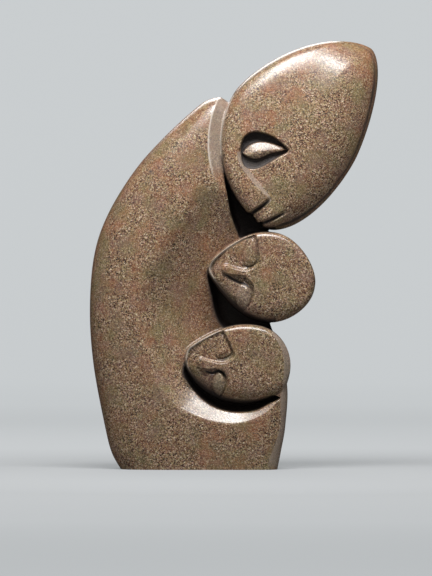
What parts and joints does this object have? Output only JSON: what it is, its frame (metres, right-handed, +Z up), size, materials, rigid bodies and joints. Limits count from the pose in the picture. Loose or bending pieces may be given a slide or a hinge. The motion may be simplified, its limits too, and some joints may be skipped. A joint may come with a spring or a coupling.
{
  "type": "stone family sculpture",
  "caption": "Polished stone carving of a hooded figure bent over two small heads, cut from one block and standing on a flat foot.",
  "frame": {"origin": "middle of the flat underside", "axes": "+Z up the sculpture, +Y from its carved front to its back"},
  "size_m": [0.2708, 0.09, 0.4016],
  "materials": {
    "polished_stone": "polished, speckled brown"
  },
  "bodies": {
    "root": {"stone_family_carving": "polished_stone"}
  },
  "joints": []
}
